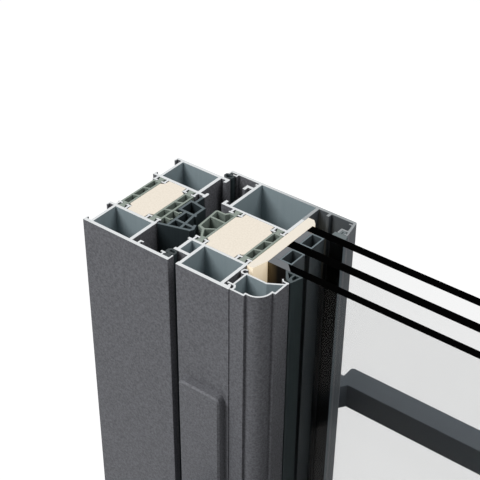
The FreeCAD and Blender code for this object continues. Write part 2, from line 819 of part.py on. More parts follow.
def bead_section():
    """Clip-in bead: a flat face, a step, a quarter round and a rail behind the gasket."""
    wall = size("bead_wall")
    half = wall / 2
    left = size("bead_start") + half
    top = size("bead_top")
    right = top - half
    depth = size("bead_depth")
    hook = size("bead_hook_front") + half
    face = size("bead_face_front")
    face_start = size("leaf_face_end") + size("mitre_gap")
    step = size("bead_step")
    cheek = size("bead_cheek")
    radius = size("bead_round_radius")
    round_across = cheek - radius
    round_deep = size("bead_round_end")
    floor = round_deep - radius
    shelf = size("bead_shelf_front")
    back = size("bead_back")
    rail = size("bead_rail") / 2
    tongue = right - size("bead_tongue_reach")
    tongue_rise = size("bead_tongue_rise")
    whole_round = disc(round_across, round_deep, radius)
    whole_round = whole_round.cut(disc(round_across, round_deep, radius - wall))
    quarter = whole_round.common(plate(round_across, floor, cheek, round_deep)).Faces[0]
    walls = [
        strip([(left, hook), (left, back)], wall),
        strip([(left - half - size("bead_hook_reach"), hook), (left + wall, hook),
               (left + 2 * wall, hook - 1.5 * wall), (left + 2 * wall, face + half)], wall),
        plate(face_start, face, step, face + size("bead_face_wall")),
        plate(step - wall, face, step, floor + wall),
        plate(step - wall, floor, round_across + overlap, floor + wall),
        quarter,
        plate(cheek - wall, round_deep - overlap, cheek, shelf + wall),
        plate(cheek - wall, shelf, top, shelf + wall),
        plate(top - wall, shelf, top, depth - half),
        bevelled(right - rail, depth - 2 * rail, right + rail, depth, rail / 2),
        strip([(right, depth - half), (tongue, depth - half),
               (tongue - tongue_rise, depth - half + tongue_rise)], size("bead_tongue_wall")),
        strip([(right, depth - 2 * wall), (size("bead_back_bend"), back), (left, back)], wall),
    ]
    ring = size("bead_ring_radius")
    ring_across = size("bead_ring_across")
    ring_deep = size("bead_ring_deep")
    reach = 2 * ring
    walls.append(disc(ring_across, ring_deep, ring))
    mouth = outline([(ring_across, ring_deep),
                     (ring_across + size("bead_ring_mouth"), ring_deep + reach),
                     (ring_across + reach, ring_deep + reach), (ring_across + reach, ring_deep)])
    return joined(walls, [disc(ring_across, ring_deep, ring - size("bead_ring_wall")), mouth])


def bead_seal_section():
    """Wedge between bead and glass, with a lip over the bead's rail and two hollows."""
    wall = size("bead_seal_wall")
    left = size("bead_seal_left")
    right = size("bead_seal_right")
    waist = size("bead_seal_waist")
    lip = size("bead_top") + size("bead_seal_lip")
    depth = size("bead_depth")
    pane = size("inside_pane_front") - size("seat_gap")
    rise = size("bead_seal_rise")
    middle = size("bead_seal_divide")
    body = outline([
        (left, pane), (waist, depth + rise), (middle, depth + wall),
        (lip - wall / 2, depth + wall / 2), (lip, depth + wall), (right, pane),
    ])
    left_hollow = outline([
        (left + 2 * wall, pane - wall), (waist + wall, depth + rise + wall),
        (middle - wall / 2, depth + rise), (middle - wall / 2, pane - wall),
    ])
    right_hollow = outline([
        (middle + wall / 2, pane - wall), (middle + wall / 2, depth + rise + 1.5 * wall),
        (lip - wall / 2, depth + rise), (right - 1.5 * wall, pane - wall),
    ])
    return body.cut([left_hollow, right_hollow])


def outside_glazing_seal_section():
    """Broad foot on the glass, and a hollow neck with a barb in the flange's groove."""
    end = size("leaf_flange_end")
    pane = size("outside_pane_front") + size("outside_pane") + size("seat_gap")
    groove = size("leaf_depth") - size("glazing_groove_deep")
    gap = 2 * size("seat_gap")
    hook = groove - size("glazing_hook_front")
    left = end - size("glazing_groove_width")
    inner = left + size("glazing_lip_wall") + size("seat_gap")
    outer = end - size("glazing_hook_reach") - size("seat_gap")
    barb = size("outside_seal_barb")
    wall = size("outside_seal_wall")
    spread = size("outside_seal_spread")
    shoulder = hook - gap
    over_hook = hook + size("glazing_hook_tip") + gap
    walls = [
        outline([(left - spread, pane), (end + spread, pane), (end + spread, pane + overlap),
                 (end + overlap, shoulder), (left - spread, shoulder - overlap)]),
        outline([(inner, shoulder - overlap), (outer, shoulder - overlap), (outer, over_hook),
                 (outer + barb, over_hook), (outer, groove - gap), (inner, groove - gap)]),
    ]
    hole = plate(inner + wall, hook - overlap, outer - wall, groove - gap - wall)
    return joined(walls, [hole])


# Glass unit and the strip round its edge

glass_front = size("inside_pane_front")
inside_pane_rear = glass_front + size("inside_pane")
middle_pane_rear = size("middle_pane_front") + size("middle_pane")
outside_pane_rear = size("outside_pane_front") + size("outside_pane")


def packer_section():
    gap = size("seat_gap")
    edge = size("glass_edge")
    rear = edge + size("pane_packer_width")
    return outline([(edge, glass_front), (rear + size("pane_packer_slope") - gap, glass_front),
                    (rear - gap, inside_pane_rear), (edge, inside_pane_rear)])


def cavities():
    gap = size("seat_gap")
    return (
        (inside_pane_rear + gap, size("middle_pane_front") - gap),
        (middle_pane_rear + gap, size("outside_pane_front") - gap),
    )


def spacer_section(cavity):
    front, rear = cavities()[cavity]
    start = size("spacer_start")
    end = start + size("spacer_width")
    wall = size("spacer_wall")
    body = plate(start, front, end, rear)
    return body.cut(plate(start + wall, front + wall, end - wall, rear - wall))


def sealant_section(cavity):
    front, rear = cavities()[cavity]
    return plate(size("glass_edge"), front, size("spacer_start") - size("seat_gap"), rear)


def strip_section():
    """Foam round the edge of the glass, bevelled at both faces, with a lip over the glass."""
    end = size("glass_edge") - size("seat_gap")
    start = end - size("strip_width")
    front = size("strip_front")
    rear = size("strip_rear")
    bevel = size("strip_bevel")
    lip = outside_pane_rear + size("seat_gap")
    lip_end = end + size("strip_lip_reach")
    return outline([(start, front), (end - bevel, front), (end, glass_front), (end, lip),
                    (lip_end, lip), (lip_end, lip + size("strip_lip_wall")),
                    (end, rear - bevel), (end - bevel, rear), (start, rear)])


# Runs of a section along the lock side, the floor and the hinge side

def floor_wedge():
    """Tapered block that keeps the floor run and cuts its mitres."""
    block = doc.addObject("Part::Wedge", "floor_keeper")
    slack = "Sizes.cutter_slack"
    gap = "Sizes.mitre_gap / sqrt(2)"
    half = "Sizes.overall_width / 2"
    block.setExpression("Ymin", f"-{slack}")
    block.setExpression("Ymax", "Sizes.corner_reach")
    for side in ("Z", "Z2"):
        block.setExpression(f"{side}min", f"-Sizes.leaf_depth - {slack}")
        block.setExpression(f"{side}max", slack)
    block.setExpression("Xmin", f"-{half} - {slack} + {gap}")
    block.setExpression("Xmax", f"{half} + {slack} - {gap}")
    block.setExpression("X2min", f"-{half} + Sizes.corner_reach + {gap}")
    block.setExpression("X2max", f"{half} - Sizes.corner_reach - {gap}")
    block.Placement = Placement(Vector(0, 0, 0), Rotation(Vector(1, 0, 0), 90))
    return block


published = []


def publish(piece, name):
    """Name a finished sub-part and set it back so that the origin is on the sill's foot."""
    piece.Label = name
    piece.setExpression("Placement.Base.y", "-Sizes.foot_depth / 2")
    published.append(piece)
    return piece


def run_round(name, section, bores=()):
    """The three mitred runs of one section, as one sub-part."""
    profile = doc.addObject("Part::Feature", name + "_section")
    profile.Shape = section
    side = doc.addObject("Part::Extrusion", name + "_side")
    side.Base = profile
    side.DirMode = "Custom"
    side.Dir = Vector(0, 0, 1)
    side.Solid = True
    side.setExpression("LengthFwd", "Sizes.cut_height")
    side.setExpression("Placement.Base.x", "-Sizes.overall_width / 2")
    floor = doc.addObject("Part::Extrusion", name + "_floor_run")
    floor.Base = profile
    floor.DirMode = "Custom"
    floor.Dir = Vector(0, 0, 1)
    floor.Solid = True
    floor.setExpression("LengthFwd", "Sizes.overall_width")
    floor.Placement = Placement(Vector(0, 0, 0), Rotation(Vector(0, 1, 0), -90))
    floor.setExpression("Placement.Base.x", "Sizes.overall_width / 2")
    lock = doc.addObject("Part::Cut", name + "_lock_side")
    lock.Base = side
    lock.Tool = floor_corner
    sill = doc.addObject("Part::Common", name + "_floor")
    sill.Base = floor
    sill.Tool = floor_keeper
    hinge = doc.addObject("Part::Mirroring", name + "_hinge_side")
    hinge.Source = lock
    hinge.Normal = Vector(1, 0, 0)
    front_run = lock
    for index, bore in enumerate(bores):
        drilled = doc.addObject("Part::Cut", f"{name}_drilled_{index}")
        drilled.Base = front_run
        drilled.Tool = bore
        front_run = drilled
    whole = doc.addObject("Part::Compound", name + "_runs")
    whole.Links = [front_run, sill, hinge]
    return publish(whole, name)


def side_corner():
    """Block below the mitre of the lock side run."""
    half = size("overall_width") / 2
    gap = size("mitre_gap") / math.sqrt(2)
    slack = size("cutter_slack")
    reach = size("corner_reach")
    corner = doc.addObject("Part::Feature", "lock_side_corner")
    points = [(-slack, gap - slack), (-slack, -2 * slack), (reach, -2 * slack),
              (reach, reach + gap)]
    path = [Vector(x - half, -slack, z) for x, z in points]
    face = Part.Face(Part.makePolygon(path + path[:1]))
    corner.Shape = face.extrude(Vector(0, size("leaf_depth") + 2 * slack, 0))
    return corner


floor_keeper = floor_wedge()
floor_corner = side_corner()

handle_x = size("handle_across") - size("overall_width") / 2
cylinder_height = size("handle_height") - size("cylinder_below_handle")


def milled_slot(name, width, height, middle_height):
    """Slot milled square through the leaf behind the escutcheons."""
    slot = doc.addObject("Part::Box", name)
    slot.setExpression("Length", width)
    slot.setExpression("Width", "Sizes.leaf_depth + 2 * Sizes.cutter_slack")
    slot.setExpression("Height", height)
    slot.setExpression("Placement.Base.x",
                       f"-Sizes.overall_width / 2 + Sizes.handle_across - ({width}) / 2")
    slot.setExpression("Placement.Base.y", "-Sizes.cutter_slack")
    slot.setExpression("Placement.Base.z", f"({middle_height}) - ({height}) / 2")
    return slot


def cylinder_shape(extra, front, rear):
    """Lock cylinder: a round plug over a narrower web with a round foot."""
    radius = size("cylinder_radius") + extra
    half_web = size("cylinder_web") / 2 + extra
    low = cylinder_height + size("cylinder_radius") - size("cylinder_height") - extra
    plug = Part.makeCylinder(radius, rear - front, Vector(handle_x, front, cylinder_height),
                             Vector(0, 1, 0))
    web = Part.makeBox(2 * half_web, rear - front, cylinder_height - low - half_web,
                       Vector(handle_x - half_web, front, low + half_web))
    foot = Part.makeCylinder(half_web, rear - front,
                             Vector(handle_x, front, low + half_web), Vector(0, 1, 0))
    return plug.multiFuse([web, foot]).removeSplitter()


spindle_slot = milled_slot("spindle_slot", "Sizes.spindle_slot", "Sizes.spindle_slot",
                           "Sizes.handle_height")
cylinder_slot = milled_slot(
    "cylinder_slot",
    "2 * (Sizes.cylinder_radius + Sizes.cylinder_gap)",
    "Sizes.cylinder_height + 2 * Sizes.cylinder_gap",
    "Sizes.handle_height - Sizes.cylinder_below_handle + Sizes.cylinder_radius"
    " - Sizes.cylinder_height / 2")
cylinder_cut = doc.addObject("Part::Feature", "cylinder_cut")
cylinder_cut.Shape = cylinder_shape(size("cylinder_gap"), -size("cutter_slack"),
                                    size("leaf_depth") + size("cutter_slack"))

frame_runs = {
    "frame_inside_shell": frame_inside_section,
    "frame_outside_shell": frame_outside_section,
    "frame_wall_side_bars": frame_wall_bar_section,
    "frame_rebate_bars": frame_rebate_bar_section,
    "frame_foam_core": frame_foam_section,
    "centre_gasket": centre_seal_section,
    "frame_stop_gasket": frame_seal_section,
    "leaf_rebate_bars": leaf_nose_bar_section,
    "leaf_stop_gasket": leaf_seal_section,
    "glazing_bead": bead_section,
    "bead_gasket": bead_seal_section,
    "outside_glazing_gasket": outside_glazing_seal_section,
    "pane_edge_packer": packer_section,
    "glazing_foam_strip": strip_section,
}
for name, section in frame_runs.items():
    run_round(name, section())

drilled_runs = {
    "leaf_inside_shell": leaf_inside_section,
    "leaf_outside_shell": leaf_outside_section,
    "leaf_foam_core": leaf_foam_section,
    "leaf_glazing_bars": leaf_glass_bar_section,
}
for name, section in drilled_runs.items():
    run_round(name, section(), [spindle_slot, cylinder_slot])

for cavity, name in enumerate(("inside", "outside")):
    run_round(name + "_spacer", spacer_section(cavity))
    run_round(name + "_edge_sealant", sealant_section(cavity))


# Panes

def pane(name, front, thickness, edge):
    block = doc.addObject("Part::Box", name + "_block")
    block.setExpression("Length", f"Sizes.overall_width - 2 * ({edge})")
    block.setExpression("Width", thickness)
    block.setExpression("Height", f"Sizes.cut_height - ({edge})")
    block.setExpression("Placement.Base.x", f"-Sizes.overall_width / 2 + ({edge})")
    block.setExpression("Placement.Base.y", front)
    block.setExpression("Placement.Base.z", edge)
    holder = doc.addObject("Part::Compound", name + "_sheet")
    holder.Links = [block]
    publish(holder, name)


pane("middle_pane", "Sizes.middle_pane_front", "Sizes.middle_pane", "Sizes.glass_edge")
pane("outside_pane", "Sizes.outside_pane_front", "Sizes.outside_pane", "Sizes.glass_edge")


def inside_pane():
    """Pane whose edge slopes back behind the packer."""
    sheet_of_glass = doc.addObject("Part::Wedge", "inside_pane_sheet")
    wide = "Sizes.glass_edge + Sizes.pane_packer_width"
    narrow = wide + " + Sizes.pane_packer_slope"
    sheet_of_glass.setExpression("Ymin", "Sizes.inside_pane_front")
    sheet_of_glass.setExpression("Ymax", "Sizes.inside_pane_front + Sizes.inside_pane")
    sheet_of_glass.setExpression("Xmin", f"-Sizes.overall_width / 2 + {narrow}")
    sheet_of_glass.setExpression("Xmax", f"Sizes.overall_width / 2 - ({narrow})")
    sheet_of_glass.setExpression("X2min", f"-Sizes.overall_width / 2 + {wide}")
    sheet_of_glass.setExpression("X2max", f"Sizes.overall_width / 2 - ({wide})")
    sheet_of_glass.setExpression("Zmin", narrow)
    sheet_of_glass.setExpression("Z2min", wide)
    sheet_of_glass.setExpression("Zmax", "Sizes.cut_height")
    sheet_of_glass.setExpression("Z2max", "Sizes.cut_height")
    publish(sheet_of_glass, "inside_pane")


inside_pane()


# Hinges on the outside of the door

hinge_x = size("overall_width") / 2 - size("hinge_axis_across")
hinge_bottoms = (size("hinge_low_height"), size("hinge_high_height"))
middle_start = (size("hinge_length") - size("hinge_middle")) / 2


def barrel(bottom, height, radius, bore=0.0):
    axis = Vector(hinge_x, size("hinge_axis_deep"), bottom)
    body = Part.makeCylinder(radius, height, axis)
    if bore:
        body = body.cut(Part.makeCylinder(bore, height, axis))
    return body


def frame_hinge(bottom):
    """Plate on the frame's outside face with the middle knuckle."""
    wall_x = size("overall_width") / 2 - size("hinge_frame_plate_start")
    plate_left = hinge_x - size("hinge_frame_plate_reach")
    rear = size("frame_depth")
    radius = size("hinge_barrel_radius")
    bore = size("hinge_pin_radius") + size("hinge_running_gap")
    low = bottom + middle_start + size("knuckle_gap")
    tall = size("hinge_middle") - 2 * size("knuckle_gap")
    leaf = Part.makeBox(wall_x - plate_left, size("hinge_plate"), size("hinge_length"),
                        Vector(plate_left, rear, bottom))
    web = Part.makeBox(hinge_x + radius - plate_left, size("hinge_axis_deep") - rear, tall,
                       Vector(plate_left, rear, low))
    hole = Part.makeCylinder(bore, tall, Vector(hinge_x, size("hinge_axis_deep"), low))
    return leaf.multiFuse([web, barrel(low, tall, radius)]).cut(hole).removeSplitter()


def leaf_hinge(bottom):
    """Plate on the leaf's outside face with the upper and lower knuckles."""
    rear = size("leaf_depth")
    radius = size("hinge_barrel_radius")
    bore = size("hinge_pin_radius") + size("hinge_running_gap")
    plate_right = hinge_x - radius - size("hinge_leaf_plate_inset")
    thick = size("hinge_plate")
    walls = [Part.makeBox(size("hinge_leaf_plate_width"), thick, size("hinge_length"),
                          Vector(plate_right - size("hinge_leaf_plate_width"), rear, bottom))]
    tall = middle_start
    for low in (bottom, bottom + size("hinge_length") - tall):
        walls.append(Part.makeBox(hinge_x - plate_right + overlap, thick, tall,
                                  Vector(plate_right - overlap, rear + size("hinge_web_lift"), low)))
        walls.append(barrel(low, tall, radius))
    hole = Part.makeCylinder(bore, size("hinge_length"),
                             Vector(hinge_x, size("hinge_axis_deep"), bottom))
    return walls[0].multiFuse(walls[1:]).cut(hole).removeSplitter()


def hinge_pin(bottom):
    """Pin through the knuckles, a little proud of them at both ends."""
    gap = size("knuckle_gap")
    return barrel(bottom - gap, size("hinge_length") + 2 * gap, size("hinge_pin_radius"))


for name, maker in (("hinge_frame_plates", frame_hinge), ("hinge_leaf_plates", leaf_hinge),
                    ("hinge_pins", hinge_pin)):
    pair = doc.addObject("Part::Feature", name + "_pair")
    pair.Shape = Part.makeCompound([maker(bottom) for bottom in hinge_bottoms])
    publish(pair, name)


# Handle set

def escutcheon(name, face, way):
    """Long cover plate against one face of the leaf."""
    thick = size("plate_thickness")
    block = doc.addObject("Part::Box", name + "_block")
    block.setExpression("Length", "Sizes.plate_width")
    block.setExpression("Width", "Sizes.plate_thickness")
    block.setExpression("Height", "Sizes.plate_length")
    bottom = size("handle_height") + size("plate_above_handle") - size("plate_length")
    front = face if way > 0 else face - thick
    block.Placement = Placement(Vector(handle_x - size("plate_width") / 2, front, bottom),
                                Rotation())
    doc.recompute()
    rounded = doc.addObject("Part::Fillet", name + "_corners")
    rounded.Base = block
    upright = [index for index, edge in enumerate(block.Shape.Edges, start=1)
               if abs(edge.Vertexes[0].Y - edge.Vertexes[1].Y) > thick / 2]
    rounded.Edges = [(index, size("plate_corner_radius"), size("plate_corner_radius"))
                     for index in upright]
    doc.recompute()
    outer = face + way * thick
    rim = [index for index, edge in enumerate(rounded.Shape.Edges, start=1)
           if all(abs(vertex.Y - outer) < tolerance for vertex in edge.Vertexes)]
    softened = doc.addObject("Part::Chamfer", name + "_rim")
    softened.Base = rounded
    softened.Edges = [(index, size("plate_edge_bevel"), size("plate_edge_bevel"))
                      for index in rim]
    bore = doc.addObject("Part::Cylinder", name + "_bore")
    bore.setExpression("Radius", "Sizes.neck_radius + Sizes.neck_running_gap")
    bore.setExpression("Height", "Sizes.plate_thickness + 2 * Sizes.cutter_slack")
    bore.Placement = Placement(Vector(handle_x, front - size("cutter_slack"), size("handle_height")),
                               Rotation(Vector(1, 0, 0), -90))
    bored = doc.addObject("Part::Cut", name + "_bored")
    bored.Base = softened
    bored.Tool = bore
    finished = doc.addObject("Part::Cut", name + "_plate")
    finished.Base = bored
    finished.Tool = cylinder_cut
    holder = doc.addObject("Part::Compound", name + "_whole")
    holder.Links = [finished]
    publish(holder, name)


escutcheon("inside_escutcheon", 0, -1)
escutcheon("outside_escutcheon", size("leaf_depth"), 1)


def lever():
    """Outside lever: a square bar stepped away from the door beside its neck."""
    bar = size("lever_bar")
    half = bar / 2
    crank = size("lever_crank")
    near = size("leaf_depth") + size("lever_clearance") - crank
    grip = near + crank
    start = handle_x - half
    step = handle_x + size("lever_crank_start")
    back_step = step + size("lever_back_step")
    end = handle_x + size("lever_length")
    corners = [
        (start, near), (step, near), (step + size("lever_crank_run"), grip), (end, grip),
        (end, grip + bar), (back_step, grip + bar), (back_step, near + bar), (start, near + bar),
    ]
    low = size("handle_height") - half
    path = [Vector(x, y, low) for x, y in corners]
    grip_shape = Part.Face(Part.makePolygon(path + path[:1])).extrude(Vector(0, 0, bar))
    upright = [edge for edge in grip_shape.Edges
               if abs(edge.Vertexes[0].Z - edge.Vertexes[1].Z) > half
               and min(abs(edge.Vertexes[0].X - place) for place in (start, end)) < tolerance]
    grip_shape = grip_shape.makeFillet(size("lever_edge_radius"), upright)
    neck_start = size("leaf_depth") + size("neck_lift")
    neck = Part.makeCylinder(size("neck_radius"), near + half - neck_start,
                             Vector(handle_x, neck_start, size("handle_height")),
                             Vector(0, 1, 0))
    side = size("spindle_side") + 2 * size("neck_running_gap")
    socket = Part.makeBox(side, near - neck_start, side,
                          Vector(handle_x - side / 2, neck_start, size("handle_height") - side / 2))
    return grip_shape.fuse(neck).cut(socket).removeSplitter()


outside_lever = doc.addObject("Part::Feature", "outside_lever_bar")
outside_lever.Shape = lever()
outside_holder = doc.addObject("Part::Compound", "outside_lever_whole")
outside_holder.Links = [outside_lever]
publish(outside_holder, "outside_lever")

inside_lever = doc.addObject("Part::Mirroring", "inside_lever_bar")
inside_lever.Source = outside_lever
inside_lever.Normal = Vector(0, 1, 0)
inside_lever.setExpression("Base.y", "Sizes.leaf_depth / 2")
inside_holder = doc.addObject("Part::Compound", "inside_lever_whole")
inside_holder.Links = [inside_lever]
publish(inside_holder, "inside_lever")

spindle = doc.addObject("Part::Box", "spindle_bar")
spindle.setExpression("Length", "Sizes.spindle_side")
spindle.setExpression("Height", "Sizes.spindle_side")
socket_end = "(Sizes.lever_clearance - Sizes.lever_crank - 2)"
spindle.setExpression("Width", f"Sizes.leaf_depth + 2 * {socket_end}")
spindle.setExpression(
    "Placement.Base.x",
    "-Sizes.overall_width / 2 + Sizes.handle_across - Sizes.spindle_side / 2")
spindle.setExpression("Placement.Base.y", f"-{socket_end}")
spindle.setExpression("Placement.Base.z", "Sizes.handle_height - Sizes.spindle_side / 2")
spindle_holder = doc.addObject("Part::Compound", "spindle_whole")
spindle_holder.Links = [spindle]
publish(spindle_holder, "spindle")

cylinder = doc.addObject("Part::Feature", "lock_cylinder_body")
proud = size("plate_thickness") + size("cylinder_proud")
cylinder.Shape = cylinder_shape(0, -proud, size("leaf_depth") + proud)
publish(cylinder, "lock_cylinder")

doc.recompute()

for item in doc.Objects:
    if "Invalid" in item.State or "Error" in item.State:
        raise RuntimeError(f"{item.Name} failed: {item.State}")

os.makedirs("parts", exist_ok=True)
for piece in published:
    shape = piece.Shape
    if shape.isNull() or not shape.isValid():
        raise RuntimeError(f"{piece.Label} has no valid shape")
    shape.exportStep(f"parts/{piece.Label}.step")
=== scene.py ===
"""Looks of the swing door: finishes, small fittings, light and camera.

All lengths are in metres unless a name ends in _mm. The door's section is described in two
directions, as its profiles are drawn: across, from the wall side of the frame towards the
glass, and deep, from the inside faces of frame and leaf, which are flush, towards the outside.
"""
import math

import bmesh
import bpy
from mathutils import Matrix, Vector


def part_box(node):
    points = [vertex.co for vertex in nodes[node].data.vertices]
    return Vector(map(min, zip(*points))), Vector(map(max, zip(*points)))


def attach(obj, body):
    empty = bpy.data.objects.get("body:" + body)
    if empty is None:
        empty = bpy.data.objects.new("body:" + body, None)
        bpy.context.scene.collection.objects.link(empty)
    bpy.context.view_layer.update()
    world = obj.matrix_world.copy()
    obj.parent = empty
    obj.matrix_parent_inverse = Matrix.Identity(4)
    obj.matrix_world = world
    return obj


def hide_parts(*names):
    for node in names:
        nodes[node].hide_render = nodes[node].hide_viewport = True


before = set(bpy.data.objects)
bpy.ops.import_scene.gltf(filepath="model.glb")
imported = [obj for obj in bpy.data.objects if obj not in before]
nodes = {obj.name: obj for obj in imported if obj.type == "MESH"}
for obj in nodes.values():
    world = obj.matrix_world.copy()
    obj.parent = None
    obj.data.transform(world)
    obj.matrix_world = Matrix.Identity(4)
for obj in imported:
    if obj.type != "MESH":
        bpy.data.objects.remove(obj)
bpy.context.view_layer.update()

MM = 0.001
half_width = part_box("frame_inside_shell")[1].x
cut_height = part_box("frame_inside_shell")[1].z
inside_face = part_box("leaf_inside_shell")[0].y
outside_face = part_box("leaf_outside_shell")[1].y


# Node trees

NEUTRAL = (1.0, 1.0, 1.0)
MASK_SLACK_MM = 0.1
MITRE_LINE = 0.35 * MM
CUT_LAYER = 0.2 * MM
FACES_UP = 0.9


class Shading:
    """The node tree of a material or of the world, with short calls for its nodes."""

    def __init__(self, owner):
        owner.use_nodes = True
        self.tree = owner.node_tree

    def add(self, kind):
        return self.tree.nodes.new("ShaderNode" + kind)

    def feed(self, socket, value):
        """Link a socket to another node's output, or set it to a plain value."""
        if isinstance(value, bpy.types.NodeSocket):
            self.tree.links.new(value, socket)
        else:
            socket.default_value = value

    def math(self, operation, *values):
        made = self.add("Math")
        made.operation = operation
        for socket, value in zip(made.inputs, values):
            self.feed(socket, value)
        return made.outputs[0]

    def mix(self, factor, first, second):
        """Mix of two colours, or of two numbers."""
        made = self.add("Mix")
        numbers = isinstance(second, float)
        made.data_type = "FLOAT" if numbers else "RGBA"
        start = 2 if numbers else 6
        self.feed(made.inputs[0], factor)
        self.feed(made.inputs[start], first)
        self.feed(made.inputs[start + 1], second)
        return made.outputs[0 if numbers else 2]

    def ranged(self, value, low, high, start=0.0, end=1.0):
        """Stretch of the part of a value between low and high, to run from start to end."""
        made = self.add("MapRange")
        for name, given in (("Value", value), ("From Min", low), ("From Max", high),
                            ("To Min", start), ("To Max", end)):
            self.feed(made.inputs[name], given)
        return made.outputs[0]

    def either(self, *masks):
        total = masks[0]
        for mask in masks[1:]:
            total = self.math("MAXIMUM", total, mask)
        return total

    def both(self, first, second):
        return self.math("MULTIPLY", first, second)


class Finish(Shading):
    """A node material with one Principled shader and the piece's own coordinates at hand."""

    def __init__(self, name):
        self.material = bpy.data.materials.new(name)
        super().__init__(self.material)
        self.shader = self.tree.nodes["Principled BSDF"]
        own = self.add("TexCoord")
        self.place = own.outputs["Object"]
        self.x, self.y, self.z = self.split(self.place)
        self.facing = self.split(own.outputs["Normal"])

    def split(self, vector):
        made = self.add("SeparateXYZ")
        self.feed(made.inputs[0], vector)
        return made.outputs

    def noise(self, size, detail=2.0, stretch=NEUTRAL):
        """Noise between 0 and 1 whose grains are about the given size."""
        scaled = self.add("Mapping")
        self.feed(scaled.inputs["Scale"], stretch)
        self.feed(scaled.inputs["Vector"], self.place)
        made = self.add("TexNoise")
        self.feed(made.inputs["Scale"], 1 / size)
        self.feed(made.inputs["Detail"], detail)
        self.feed(made.inputs["Vector"], scaled.outputs[0])
        return made.outputs[0]

    def bump(self, height, distance, strength=1.0):
        made = self.add("Bump")
        self.feed(made.inputs["Distance"], distance)
        self.feed(made.inputs["Strength"], strength)
        self.feed(made.inputs["Height"], height)
        self.feed(self.shader.inputs["Normal"], made.outputs[0])

    def looks_up(self):
        return self.math("GREATER_THAN", self.facing[2], FACES_UP)

    def cut_face(self):
        """1 on the faces of the level cut at the top, and 0 elsewhere."""
        near_top = self.math("GREATER_THAN", self.z, cut_height - CUT_LAYER)
        return self.both(near_top, self.looks_up())

    def nearest_side(self):
        """Distance from the nearer wall side of the frame, left or right."""
        left = self.math("ADD", self.x, half_width)
        right = self.math("SUBTRACT", half_width, self.x)
        return self.math("MINIMUM", left, right)

    def across_mm(self):
        """Distance from the wall side or the floor, as the mitred profiles run."""
        nearest = self.math("MINIMUM", self.nearest_side(), self.z)
        return self.math("DIVIDE", nearest, MM)

    def deep_mm(self):
        return self.math("DIVIDE", self.math("SUBTRACT", self.y, inside_face), MM)

    def within(self, left, front, right, rear):
        """1 inside a rectangle of the section in millimetres, and 0 outside."""
        masks = [self.math("COMPARE", value, (low + high) / 2, (high - low) / 2)
                 for value, low, high in ((self.across_mm(), left, right),
                                          (self.deep_mm(), front, rear))]
        return self.both(*masks)

    def within_any(self, rectangles):
        return self.either(*[self.within(left - MASK_SLACK_MM, front - MASK_SLACK_MM,
                                         right + MASK_SLACK_MM, rear + MASK_SLACK_MM)
                             for left, front, right, rear in rectangles])

    def mitre(self):
        """1 along the mitred joints of the lower corners, and 0 elsewhere."""
        return self.math("COMPARE", self.nearest_side(), self.z, MITRE_LINE / 2)

    def set(self, **inputs):
        for name, value in inputs.items():
            self.feed(self.shader.inputs[name.replace("_", " ")], value)


def shade(level, tint=NEUTRAL):
    return tuple(level * share for share in tint) + (1.0,)


# Coats and metals

COAT_TINT = (0.98, 1.0, 1.09)
COAT_DARK = shade(0.108, COAT_TINT)
COAT_LIGHT = shade(0.204, COAT_TINT)
COAT_SEAM = shade(0.03)
# Painted shade: the coat in the glazing rebate is darker
REBATE_PAINTED_SHADE = shade(0.0975, (0.875, 1.0, 1.12))
COAT_GRAIN = 1.3 * MM
COAT_RELIEF = 0.05 * MM
COAT_GLOSS = 0.25
SEAM_DEPTH = 4.0

BARE_METAL = (0.285, 0.350, 0.375, 1.0)
BARE_METAL_PALE = (0.34, 0.405, 0.43, 1.0)
DRAWN_GRAIN = 1.6 * MM
DRAWN_STRETCH = (1.0, 1.0, 0.01)
CUT_METAL = (0.80, 0.82, 0.83, 1.0)
CUT_METAL_DULL = (0.70, 0.72, 0.73, 1.0)
# Painted shade on the leaf flange's cut, towards the glass
CUT_METAL_PAINTED_SHADE = (0.29, 0.31, 0.32, 1.0)
SAW_GRAIN = 0.6 * MM
SAW_STRETCH = (1.0, 0.05, 1.0)

# Left, front, right and rear of the hollows of the shells, where the metal is bare
HOLLOWS_MM = {
    "frame_inside_shell": [(6.4, 2.4, 36.5, 23.1)],
    "frame_outside_shell": [(6.4, 68.5, 36.5, 89.6)],
    "leaf_inside_shell": [(77.8, 2.4, 107.2, 24.4), (67.9, 13.1, 75.6, 24.4)],
    "leaf_outside_shell": [(64.5, 68.4, 107.2, 99.9)],
}
BEAD_HOLLOWS_MM = [(114.9, 1.8, 124.5, 24.0), (124.5, 3.6, 127.2, 24.0),
                   (127.2, 12.2, 135.8, 24.0), (135.8, 14.2, 137.9, 24.0)]
BEAD_ROUND_MM = (127.2, 12.2, 8.6)
BEAD_BACK_MM = 17.5
BEAD_BACK_BEND_MM = 129.1
BEAD_BACK_SLOPE = 0.617

# The leaf's flange over the outside pane, and the rebate that it forms, which carry painted shade
FLANGE_FRONT_MM = 84.0
FLANGE_FADE_MM = (60.0, 118.0)
GLAZING_REBATE_MM = (108.5, 84.0, 139.0, 100.2)


def bead_hollow(finish):
    """The glazing bead's hollow: rectangles and a quarter round, in front of its back wall."""
    across = finish.across_mm()
    deep = finish.deep_mm()
    centre_across, centre_deep, radius = BEAD_ROUND_MM
    offsets = [finish.math("POWER", finish.math("SUBTRACT", value, centre), 2.0)
               for value, centre in ((across, centre_across), (deep, centre_deep))]
    distance = finish.math("SQRT", finish.math("ADD", *offsets))
    rounded = finish.math("LESS_THAN", distance, radius + MASK_SLACK_MM)
    past_bend = finish.math("MAXIMUM", finish.math("SUBTRACT", across, BEAD_BACK_BEND_MM), 0.0)
    back = finish.math("MULTIPLY_ADD", past_bend, BEAD_BACK_SLOPE, BEAD_BACK_MM + MASK_SLACK_MM)
    before_back = finish.math("LESS_THAN", deep, back)
    return finish.both(finish.either(finish.within_any(BEAD_HOLLOWS_MM), rounded), before_back)


def coat_grain(finish):
    return finish.ranged(finish.noise(COAT_GRAIN, 4.0), 0.3, 0.7)


